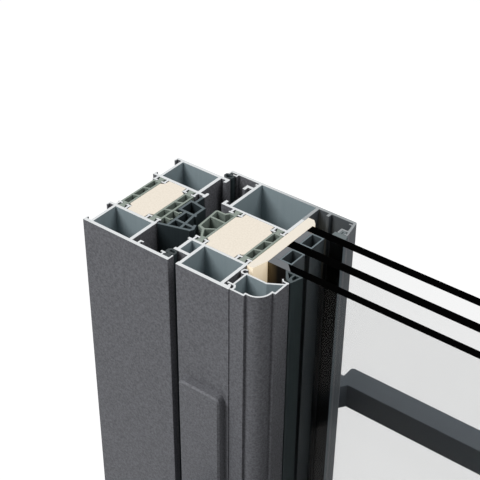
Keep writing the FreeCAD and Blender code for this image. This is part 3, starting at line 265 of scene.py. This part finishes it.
def profile_coat(name, hollow, flange=False):
    """Fine textured coat outside, bare metal in the hollows, bright metal on the cut.

    A shell with the flange gets painted shade: a darker coat in the glazing rebate, and a cut that
    greys towards the glass.
    """
    finish = Finish(name + "_coat")
    grain = coat_grain(finish)
    bare = hollow(finish)
    cut = finish.cut_face()
    seam = finish.mitre()
    saw = finish.noise(SAW_GRAIN, 2.0, SAW_STRETCH)
    drawn = finish.noise(DRAWN_GRAIN, 2.0, DRAWN_STRETCH)
    coat = finish.mix(seam, finish.mix(grain, COAT_DARK, COAT_LIGHT), COAT_SEAM)
    bright = finish.mix(saw, CUT_METAL, CUT_METAL_DULL)
    if flange:
        # Painted shade: a darker coat in the glazing rebate
        coat = finish.mix(finish.within(*GLAZING_REBATE_MM), coat, REBATE_PAINTED_SHADE)
        on_flange = finish.math("GREATER_THAN", finish.deep_mm(), FLANGE_FRONT_MM)
        fade = finish.ranged(finish.across_mm(), *FLANGE_FADE_MM)
        # Painted shade: the flange's cut greys towards the glass
        bright = finish.mix(finish.both(on_flange, fade), bright, CUT_METAL_PAINTED_SHADE)
    colour = finish.mix(bare, coat, finish.mix(drawn, BARE_METAL, BARE_METAL_PALE))
    plain = finish.either(bare, cut)
    relief = finish.math("SUBTRACT", grain, finish.math("MULTIPLY", seam, SEAM_DEPTH))
    finish.bump(relief, COAT_RELIEF, finish.math("SUBTRACT", 1.0, plain))
    finish.set(Base_Color=finish.mix(cut, colour, bright),
               Roughness=finish.mix(plain, 0.62, 0.45), Specular_IOR_Level=COAT_GLOSS)
    return finish.material


def fitting_coat():
    """The profiles' coat on solid fittings, which have no hollow and no cut."""
    finish = Finish("fitting_coat")
    grain = coat_grain(finish)
    finish.bump(grain, COAT_RELIEF, 0.8)
    finish.set(Base_Color=finish.mix(grain, COAT_DARK, COAT_LIGHT), Roughness=0.6,
               Specular_IOR_Level=COAT_GLOSS)
    return finish.material


def satin(name, dark, light, grain_mm, rough, metallic=0.0, gloss=0.5, stretch=NEUTRAL):
    """Smooth lacquer or metal with a faint grain."""
    finish = Finish(name)
    grain = finish.noise(grain_mm * MM, 3.0, stretch)
    finish.bump(grain, 0.015 * MM, 0.5)
    finish.set(Base_Color=finish.mix(grain, dark, light),
               Roughness=finish.math("MULTIPLY_ADD", grain, 0.15, rough - 0.07),
               Metallic=metallic, Specular_IOR_Level=gloss)
    return finish.material


# Plastics, foam and glass

DRAW_LINES = (1.0, 1.0, 0.02)
FACES_INSIDE = -0.7
CUT_SPECK_GAIN = 1.12


def cut_plastic(name, cut, dark, light, grain_mm, rough, gloss, glass_face_shade=None):
    """Extruded plastic or rubber: paler on the cut, with faint draw lines along the sides.

    The face that is pressed against the glass from outside may be painted near black, as painted
    shade.
    """
    finish = Finish(name)
    lines = finish.noise(grain_mm * MM, 3.0, DRAW_LINES)
    speck = finish.noise(grain_mm * MM, 4.0)
    side = finish.mix(lines, dark, light)
    if glass_face_shade:
        # Painted shade on the face against the glass
        side = finish.mix(finish.math("LESS_THAN", finish.facing[1], FACES_INSIDE), side, glass_face_shade)
    pale = tuple(min(1.0, value * CUT_SPECK_GAIN) for value in cut[:3]) + (1.0,)
    top = finish.mix(speck, cut, pale)
    finish.bump(speck, 0.03 * MM, 0.6)
    finish.set(Base_Color=finish.mix(finish.cut_face(), side, top), Roughness=rough,
               Specular_IOR_Level=gloss)
    return finish.material


EDGE_GREY = (0.163, 0.172, 0.182, 1.0)
PACKER_BROWN = (0.15, 0.105, 0.050, 1.0)
PACKER_BROWN_DARK = (0.10, 0.068, 0.030, 1.0)
PACKER_PAINTED_SHADE = (0.004, 0.0035, 0.003, 1.0)
PACKER_SHADE_FADE_MM = 7.5


def packer_plastic():
    """Brown plastic, grey on the cut, whose sides run to black towards the middle of the glass as
    painted shade away from the foam.
    """
    finish = Finish("packer_plastic")
    start_mm = (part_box("pane_edge_packer")[0].x + half_width) / MM
    lines = finish.noise(0.9 * MM, 3.0, DRAW_LINES)
    # Painted shade: the sides darken to black away from the foam
    fade = finish.ranged(finish.across_mm(), start_mm, start_mm + PACKER_SHADE_FADE_MM)
    brown = finish.mix(lines, PACKER_BROWN_DARK, PACKER_BROWN)
    side = finish.mix(fade, brown, PACKER_PAINTED_SHADE)
    finish.set(Base_Color=finish.mix(finish.cut_face(), side, EDGE_GREY), Roughness=0.6,
               Specular_IOR_Level=0.1)
    return finish.material


FOAM_GLOW_DEPTH = 60 * MM
FOAM_GLOW_COLOUR = (1.0, 0.82, 0.56, 1.0)


def foam(name, dark, light, cell_mm, painted_glow=0.0):
    """Closed-cell foam with fine pores, whose sides may glow with painted light near the top, in
    place of light that soaks in on top.
    """
    finish = Finish(name)
    cells = finish.noise(cell_mm * MM, 5.0)
    pores = finish.ranged(cells, 0.35, 0.6)
    finish.bump(pores, 0.08 * MM, 0.5)
    finish.set(Base_Color=finish.mix(pores, dark, light), Roughness=0.9,
               Specular_IOR_Level=0.1)
    # Painted light: the sides near the top glow, though the foam is no lamp
    if painted_glow:
        near_top = finish.ranged(finish.z, cut_height - FOAM_GLOW_DEPTH, cut_height)
        side = finish.math("SUBTRACT", 1.0, finish.looks_up())
        strength = finish.math("MULTIPLY", finish.both(near_top, side), painted_glow)
        finish.set(Emission_Color=FOAM_GLOW_COLOUR, Emission_Strength=strength)
    return finish.material


GLASS_CLEAR = (0.878, 0.880, 0.880, 1.0)
GLASS_CLEAR_PALE = (0.884, 0.886, 0.886, 1.0)
GLASS_CUT = (0.0012, 0.0012, 0.0012, 1.0)
GLASS_RIPPLE = 40 * MM
GLASS_IOR = 1.17


def glass():
    """Clear float glass, with no sheen of its own in plain light, whose cut edge is black."""
    finish = Finish("clear_glass")
    cut = finish.cut_face()
    clear = finish.mix(finish.noise(GLASS_RIPPLE, 1.0), GLASS_CLEAR, GLASS_CLEAR_PALE)
    finish.set(Base_Color=finish.mix(cut, clear, GLASS_CUT), Roughness=finish.mix(cut, 0.0, 0.6),
               IOR=GLASS_IOR, Specular_Tint=shade(0.0), Specular_IOR_Level=0.0,
               Transmission_Weight=finish.math("SUBTRACT", 1.0, cut))
    return finish.material


# Which piece wears what

def dress(material, *names):
    for name in names:
        slots = nodes[name].data.materials
        slots.clear()
        slots.append(material)


def shell_hollow(name):
    return lambda finish: finish.within_any(HOLLOWS_MM[name])


STEEL_TINT = (0.97, 1.0, 1.03)
LEVER_TINT = (0.87, 1.0, 1.13)

for shell in HOLLOWS_MM:
    dress(profile_coat(shell, shell_hollow(shell), shell == "leaf_outside_shell"), shell)
dress(profile_coat("glazing_bead", bead_hollow), "glazing_bead")
plate_coat = fitting_coat()
dress(plate_coat, "inside_escutcheon", "outside_escutcheon",
      "hinge_frame_plates", "hinge_leaf_plates")
dress(cut_plastic("polyamide", cut=(0.255, 0.295, 0.26, 1.0), dark=(0.17, 0.21, 0.18, 1.0),
                  light=(0.24, 0.28, 0.25, 1.0), grain_mm=0.8, rough=0.55, gloss=0.2),
      "frame_wall_side_bars", "frame_rebate_bars", "leaf_rebate_bars", "leaf_glazing_bars")
dress(cut_plastic("centre_seal_rubber", cut=(0.105, 0.13, 0.14, 1.0),
                  dark=(0.022, 0.031, 0.035, 1.0), light=(0.038, 0.050, 0.055, 1.0),
                  grain_mm=0.6, rough=0.5, gloss=0.15),
      "centre_gasket")
dress(cut_plastic("stop_seal_rubber", cut=(0.050, 0.059, 0.062, 1.0),
                  dark=(0.030, 0.042, 0.046, 1.0), light=(0.045, 0.060, 0.065, 1.0),
                  grain_mm=0.6, rough=0.5, gloss=0.15),
      "frame_stop_gasket", "leaf_stop_gasket")
dress(cut_plastic("glazing_seal_rubber", cut=(0.080, 0.098, 0.103, 1.0),
                  dark=(0.022, 0.033, 0.035, 1.0), light=(0.036, 0.052, 0.055, 1.0),
                  grain_mm=0.6, rough=0.5, gloss=0.15),
      "bead_gasket")
# Painted shade: the face against the outside pane is near black
dress(cut_plastic("outer_seal_rubber", cut=(0.15, 0.175, 0.18, 1.0),
                  dark=(0.086, 0.114, 0.130, 1.0), light=(0.120, 0.155, 0.174, 1.0),
                  grain_mm=0.6, rough=0.55, gloss=0.1, glass_face_shade=(0.002, 0.0025, 0.003, 1.0)),
      "outside_glazing_gasket")
dress(cut_plastic("edge_sealant", cut=EDGE_GREY, dark=(0.012, 0.010, 0.008, 1.0),
                  light=(0.022, 0.018, 0.015, 1.0), grain_mm=1.0, rough=0.6, gloss=0.1),
      "inside_edge_sealant", "outside_edge_sealant")
dress(packer_plastic(), "pane_edge_packer")
dress(cut_plastic("spacer_metal", cut=(0.145, 0.18, 0.195, 1.0),
                  dark=(0.055, 0.068, 0.075, 1.0), light=(0.075, 0.092, 0.10, 1.0),
                  grain_mm=0.8, rough=0.45, gloss=0.2),
      "inside_spacer", "outside_spacer")
dress(foam("core_foam", dark=(0.825, 0.75, 0.64, 1.0), light=(0.885, 0.81, 0.70, 1.0),
           cell_mm=1.1),
      "frame_foam_core", "leaf_foam_core")
# Painted light: the strip's sides glow near the top
dress(foam("strip_foam", dark=(0.85, 0.785, 0.68, 1.0), light=(0.88, 0.815, 0.71, 1.0),
           cell_mm=0.9, painted_glow=0.55),
      "glazing_foam_strip")
dress(glass(), "inside_pane", "middle_pane", "outside_pane")
steel = satin("plated_steel", shade(0.46, STEEL_TINT), shade(0.60, STEEL_TINT), grain_mm=1.5,
              rough=0.32, metallic=1.0, stretch=(1.0, 1.0, 0.05))
dress(steel, "hinge_pins", "lock_cylinder", "spindle")
lever_coat = satin("lever_coat", shade(0.18, LEVER_TINT), shade(0.213, LEVER_TINT),
                   grain_mm=1.0, rough=0.5, gloss=0.1)


# Meshes of small fittings

UP = (0.0, 0.0, 1.0)
DOWN = (0.0, 0.0, -1.0)
OUTWARD = (0.0, 1.0, 0.0)
INWARD = (0.0, -1.0, 0.0)


def mesh_piece(name, solid, material, body, smooth_degrees=35.0):
    """Object from a bmesh, riding on a body, with smooth faces between sharp edges."""
    bmesh.ops.recalc_face_normals(solid, faces=solid.faces)
    for face in solid.faces:
        face.smooth = True
    mesh = bpy.data.meshes.new(name)
    solid.to_mesh(mesh)
    solid.free()
    mesh.set_sharp_from_angle(angle=math.radians(smooth_degrees))
    mesh.materials.append(material)
    made = bpy.data.objects.new(name, mesh)
    bpy.context.scene.collection.objects.link(made)
    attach(made, body)
    return made


def axis_along(direction, foot):
    """Placement whose +Z points along a direction from a foot point."""
    turn = Vector(UP).rotation_difference(Vector(direction)).to_matrix().to_4x4()
    return Matrix.Translation(Vector(foot)) @ turn


def ring(solid, place, steps, radius, height, sides=0):
    """Loop of vertices about an axis, round or, with a number of sides, with flat sides."""
    loop = []
    for step in range(steps):
        angle = 2 * math.pi * step / steps
        reach = radius
        if sides:
            side_angle = 2 * math.pi / sides
            reach = radius / math.cos(angle % side_angle - side_angle / 2)
        spot = Vector((reach * math.cos(angle), reach * math.sin(angle), height))
        loop.append(solid.verts.new(place @ spot))
    return loop


def skin(solid, loops):
    """Walls between each loop of vertices and the next."""
    for low, high in zip(loops, loops[1:]):
        count = len(low)
        for step in range(count):
            after = (step + 1) % count
            solid.faces.new((low[step], low[after], high[after], high[step]))


def turned(solid, place, steps, rings):
    """Body turned about an axis, from rings of radius, height and maybe a number of sides."""
    loops = [ring(solid, place, steps, *sizes) for sizes in rings]
    skin(solid, loops)
    solid.faces.new(loops[0])
    solid.faces.new(loops[-1])


def metres(rings_mm):
    return [(radius * MM, height * MM, *sides) for radius, height, *sides in rings_mm]


# Hinges

HINGE_LENGTH = 120 * MM
HINGE_PLATE = 6 * MM
pins_low, pins_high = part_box("hinge_pins")
plates_low, plates_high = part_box("hinge_leaf_plates")
hinge_axis = ((pins_low.x + pins_high.x) / 2, (pins_low.y + pins_high.y) / 2)
hinge_bottoms = (plates_low.z, plates_high.z - HINGE_LENGTH)
frame_plate_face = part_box("frame_outside_shell")[1].y + HINGE_PLATE
leaf_plate_face = outside_face + HINGE_PLATE

CAP_STEPS = 32
CAP_RINGS_MM = [(5.3, 0.8), (5.3, 0.0), (8.8, 0.0), (8.9, 0.6), (8.9, 1.9), (8.5, 2.5),
                (7.4, 3.1), (5.4, 3.5), (2.6, 3.7), (0.6, 3.75)]

SCREW_STEPS = 24
SCREW_RINGS_MM = [(4.1, 0.0), (4.2, 0.3), (3.9, 1.1), (3.2, 1.7), (2.4, 2.0),
                  (1.55, 2.05, 6), (1.45, 0.7, 6)]
SCREW_HEIGHTS_MM = (15.0, 60.0, 105.0)
SCREW_FRAME_X = half_width - 12 * MM
SCREW_LEAF_X = half_width - 59 * MM


def hinge_caps():
    """Domed caps with a recess over the pin's ends, on the leaf's knuckles."""
    solid = bmesh.new()
    for bottom in hinge_bottoms:
        for direction, end in ((UP, bottom + HINGE_LENGTH), (DOWN, bottom)):
            place = axis_along(direction, (*hinge_axis, end))
            turned(solid, place, CAP_STEPS, metres(CAP_RINGS_MM))
    mesh_piece("hinge_caps", solid, plate_coat, "leaf")


def hinge_screws(name, x, face, body):
    """Button heads with hexagon sockets on the outer face of the hinge plates."""
    solid = bmesh.new()
    for bottom in hinge_bottoms:
        for height_mm in SCREW_HEIGHTS_MM:
            place = axis_along(OUTWARD, (x, face, bottom + height_mm * MM))
            turned(solid, place, SCREW_STEPS, metres(SCREW_RINGS_MM))
    mesh_piece(name, solid, steel, body)


# Lock

PLUG_STEPS = 40
PLUG_RADIUS = 6.6 * MM
PLUG_LIFT = 0.7 * MM
PLUG_BEVEL = 0.2 * MM
PLUG_BEVEL_IN = 0.25 * MM
KEYWAY_FLOOR = 0.06 * MM
KEYWAY_MM = [(-0.7, -4.6), (0.5, -4.6), (0.5, -3.2), (1.1, -2.6), (1.1, -1.4), (0.2, -0.9),
             (0.2, 0.7), (1.0, 1.2), (1.0, 2.9), (0.1, 4.4), (-1.0, 4.4), (-1.0, 1.9),
             (-0.4, 1.3), (-0.4, -0.2), (-1.2, -0.8), (-1.2, -2.4), (-0.7, -2.9)]
cylinder_low, cylinder_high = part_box("lock_cylinder")
cylinder_radius = (cylinder_high.x - cylinder_low.x) / 2
cylinder_x = cylinder_low.x + cylinder_radius
cylinder_z = cylinder_high.z - cylinder_radius


def plug_metal(name, face):
    """Nickel, with painted shade: near black at the keyway's floor."""
    finish = Finish(name + "_nickel")
    height = finish.math("ABSOLUTE", finish.math("SUBTRACT", finish.y, face))
    keyway_shade_mask = finish.math("LESS_THAN", height, KEYWAY_FLOOR * 2)
    brushed = finish.noise(0.8 * MM, 2.0, (1.0, 1.0, 0.1))
    colour = finish.mix(brushed, shade(0.52, STEEL_TINT), shade(0.66, STEEL_TINT))
    finish.bump(brushed, 0.01 * MM, 0.5)
    # Painted shade: the keyway's floor is near black
    finish.set(Base_Color=finish.mix(keyway_shade_mask, colour, shade(0.004)), Roughness=0.3,
               Metallic=1.0)
    return finish.material


def key_plug(name, direction, face):
    """Turning plug of the lock, a little proud of its face, with its keyway cut in."""
    solid = bmesh.new()
    place = axis_along(direction, (cylinder_x, face, cylinder_z))
    rim = [ring(solid, place, PLUG_STEPS, radius, height)
           for radius, height in ((PLUG_RADIUS, 0.0), (PLUG_RADIUS, PLUG_LIFT - PLUG_BEVEL),
                                  (PLUG_RADIUS - PLUG_BEVEL_IN, PLUG_LIFT))]
    skin(solid, rim)
    solid.faces.new(rim[0])
    slot = [[solid.verts.new(place @ Vector((x * MM, y * MM, height))) for x, y in KEYWAY_MM]
            for height in (PLUG_LIFT, KEYWAY_FLOOR)]
    skin(solid, slot)
    solid.faces.new(slot[1])
    edges = [solid.edges.get((loop[step], loop[(step + 1) % len(loop)]))
             for loop in (rim[-1], slot[0]) for step in range(len(loop))]
    bmesh.ops.triangle_fill(solid, edges=edges, use_beauty=True)
    mesh_piece(name, solid, plug_metal(name, face), "leaf")


# Levers

LEVER_EDGE = 0.9 * MM
LEVER_RISE = 1.5 * MM
LEVER_DEPTH = 18.4 * MM
LEVER_SETBACK = 2.1 * MM
LEVER_CRANK = 11.2 * MM
LEVER_ROUND_MM = 2.6
LEVER_CREASE_MM = 0.5
LEVER_FRONT_STEP_MM = (14.6, 22.4)
LEVER_BACK_STEP_MM = 14.5
NECK_RADIUS = 9 * MM
NECK_STEPS = 48
NECK_FOOT = 1.0 * MM


def rounded_outline(corners, steps=5):
    """Closed outline through corners, each rounded by an arc of its own radius."""
    outline = []
    count = len(corners)
    places = [place for place, _ in corners]
    for index, (corner, radius) in enumerate(corners):
        before = (places[index - 1] - corner).normalized()
        after = (places[(index + 1) % count] - corner).normalized()
        half_turn = before.angle(after) / 2
        tangent = radius / math.tan(half_turn)
        middle = corner + (before + after).normalized() * (radius / math.sin(half_turn))
        start = corner + before * tangent - middle
        end = corner + after * tangent - middle
        for step in range(steps + 1):
            spot = start.lerp(end, step / steps).normalized() * radius
            outline.append(middle + spot)
    return outline


def lever(node, way):
    """Square bar with soft edges, stepped away from the door beside its round neck."""
    low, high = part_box(node)
    bar = high.z - low.z
    spindle_x = low.x + bar / 2
    grip_face = (high.y if way > 0 else low.y) - way * LEVER_SETBACK
    neck_foot = (outside_face if way > 0 else inside_face) + way * NECK_FOOT

    def corner(x_mm, inward, radius_mm=LEVER_ROUND_MM):
        return Vector((spindle_x + x_mm * MM, grip_face - way * inward)), radius_mm * MM

    end_mm = (high.x - spindle_x) / MM
    start_mm = -bar / 2 / MM
    front_start, front_end = LEVER_FRONT_STEP_MM
    outline = rounded_outline([
        corner(start_mm, LEVER_DEPTH + LEVER_CRANK), corner(front_start, LEVER_DEPTH + LEVER_CRANK),
        corner(front_end, LEVER_DEPTH, LEVER_CREASE_MM), corner(end_mm, LEVER_DEPTH),
        corner(end_mm, 0.0), corner(LEVER_BACK_STEP_MM, 0.0),
        corner(LEVER_BACK_STEP_MM, LEVER_CRANK, LEVER_CREASE_MM), corner(start_mm, LEVER_CRANK),
    ])
    solid = bmesh.new()
    bottom = solid.faces.new([solid.verts.new((point.x, point.y, low.z)) for point in outline])
    lifted = bmesh.ops.extrude_face_region(solid, geom=[bottom])["geom"]
    for item in lifted:
        if isinstance(item, bmesh.types.BMVert):
            item.co.z = high.z + LEVER_RISE
    bmesh.ops.recalc_face_normals(solid, faces=solid.faces)
    rims = [edge for edge in solid.edges if abs(edge.verts[0].co.z - edge.verts[1].co.z) < bar / 2]
    bmesh.ops.bevel(solid, geom=rims, offset=LEVER_EDGE, segments=3, profile=0.5,
                    affect="EDGES", clamp_overlap=True)
    neck_length = abs(grip_face - way * (bar / 2 + LEVER_CRANK) - neck_foot)
    place = axis_along(OUTWARD if way > 0 else INWARD,
                       (spindle_x, neck_foot, (low.z + high.z) / 2))
    turned(solid, place, NECK_STEPS, [(NECK_RADIUS, 0.0), (NECK_RADIUS, neck_length)])
    made = mesh_piece(node + "_grip", solid, lever_coat, "handle", 30.0)
    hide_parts(node)


hinge_caps()
hinge_screws("frame_hinge_screws", SCREW_FRAME_X, frame_plate_face, "frame")
hinge_screws("leaf_hinge_screws", SCREW_LEAF_X, leaf_plate_face, "leaf")
key_plug("outside_key_plug", OUTWARD, cylinder_high.y)
key_plug("inside_key_plug", INWARD, cylinder_low.y)
lever("outside_lever", 1)
lever("inside_lever", -1)


# Camera, as the photograph was taken

VIEW_HEADING = 38.23
VIEW_TILT = 35.70
VIEW_PLACE = (-0.09901, -0.43119, 1.65953)
VIEW_LENS = 90.23
VIEW_SENSOR = 36.0
VIEW_SHIFT = 0.0302
VIEW_NEAREST = 0.05
VIEW_FARTHEST = 50.0

camera_data = bpy.data.cameras.new("camera")
camera_data.lens = VIEW_LENS
camera_data.sensor_width = VIEW_SENSOR
camera_data.shift_x = VIEW_SHIFT
camera_data.clip_start = VIEW_NEAREST
camera_data.clip_end = VIEW_FARTHEST
camera = bpy.data.objects.new("camera", camera_data)
camera.location = VIEW_PLACE
camera.rotation_euler = (math.radians(90 - VIEW_TILT), 0.0, math.radians(VIEW_HEADING))
bpy.context.scene.collection.objects.link(camera)
bpy.context.scene.camera = camera


# White surroundings that light plainly, and that look white themselves

AMBIENT = 0.24
MIRROR_LOSS = 0.5
FLOOR_REACH = 12.0
FLOOR_GREY = 0.35
FLOOR_SEEN_GREY = 0.9
FLOOR_WHITE_SHARE = 0.6
FLOOR_WHITE = 1.36
FLOOR_WHITE_FAR = 1.52
FLOOR_FAR = (2.0, 7.0)
LAMP_SIZE = 2.0
LAMP_AIM = (-0.3, 0.0, 0.9)


def seen_directly(shading):
    """1 for rays from the camera, also by way of gloss or glass, and 0 for rays that light.

    Mirror images in the panes come between, because the photo's panes hardly show any.
    """
    rays = shading.add("LightPath").outputs
    shown = shading.either(rays["Is Camera Ray"], rays["Is Glossy Ray"],
                           rays["Is Transmission Ray"])
    turned_back = shading.math("GREATER_THAN", rays["Glossy Depth"], 0.5)
    mirrored = shading.both(rays["Is Singular Ray"], turned_back)
    kept = shading.math("MULTIPLY_ADD", mirrored, -MIRROR_LOSS, 1.0)
    undiffused = shading.math("LESS_THAN", rays["Diffuse Depth"], 0.5)
    return shading.both(shading.both(shown, kept), undiffused)


def white_world():
    world = bpy.data.worlds.new("white_room")
    shading = Shading(world)
    background = shading.tree.nodes["Background"]
    level = shading.ranged(seen_directly(shading), 0.0, 1.0, AMBIENT, 1.0)
    shading.feed(background.inputs["Color"], shade(1.0))
    shading.feed(background.inputs["Strength"], level)
    bpy.context.scene.world = world


def floor_material():
    """Floor that keeps shadows near the door and looks as white as the world far from it."""
    finish = Finish("pale_floor")
    seen = seen_directly(finish)
    finish.set(Base_Color=finish.mix(seen, shade(FLOOR_GREY), shade(FLOOR_SEEN_GREY)),
               Roughness=0.9)
    reach = finish.add("VectorMath")
    reach.operation = "LENGTH"
    finish.feed(reach.inputs[0], finish.place)
    glow = finish.add("Emission")
    finish.feed(glow.inputs["Strength"],
                finish.ranged(reach.outputs["Value"], *FLOOR_FAR, FLOOR_WHITE, FLOOR_WHITE_FAR))
    mixed = finish.add("MixShader")
    finish.feed(mixed.inputs[0], finish.math("MULTIPLY", seen, FLOOR_WHITE_SHARE))
    finish.feed(mixed.inputs[1], finish.shader.outputs[0])
    finish.feed(mixed.inputs[2], glow.outputs[0])
    finish.feed(finish.tree.nodes["Material Output"].inputs["Surface"], mixed.outputs[0])
    return finish.material


def floor():
    mesh = bpy.data.meshes.new("floor")
    corners = [Vector((x, y, 0.0)) * FLOOR_REACH for x, y in ((-1, -1), (1, -1), (1, 1), (-1, 1))]
    mesh.from_pydata(corners, [], [(0, 1, 2, 3)])
    mesh.materials.append(floor_material())
    made = bpy.data.objects.new("floor", mesh)
    bpy.context.scene.collection.objects.link(made)


def lamp(name, place, power):
    """Round lamp that is aimed at the middle of the lock side."""
    data = bpy.data.lights.new(name, "AREA")
    data.shape = "DISK"
    data.size = LAMP_SIZE
    data.energy = power
    made = bpy.data.objects.new(name, data)
    made.location = place
    made.rotation_euler = (Vector(LAMP_AIM) - Vector(place)).to_track_quat("-Z", "Y").to_euler()
    bpy.context.scene.collection.objects.link(made)


white_world()
floor()
lamp("key_lamp", (-1.8, -2.2, 3.6), 90.0)
lamp("back_lamp", (1.0, 0.9, 3.9), 40.0)

bpy.context.scene.view_settings.view_transform = "Standard"
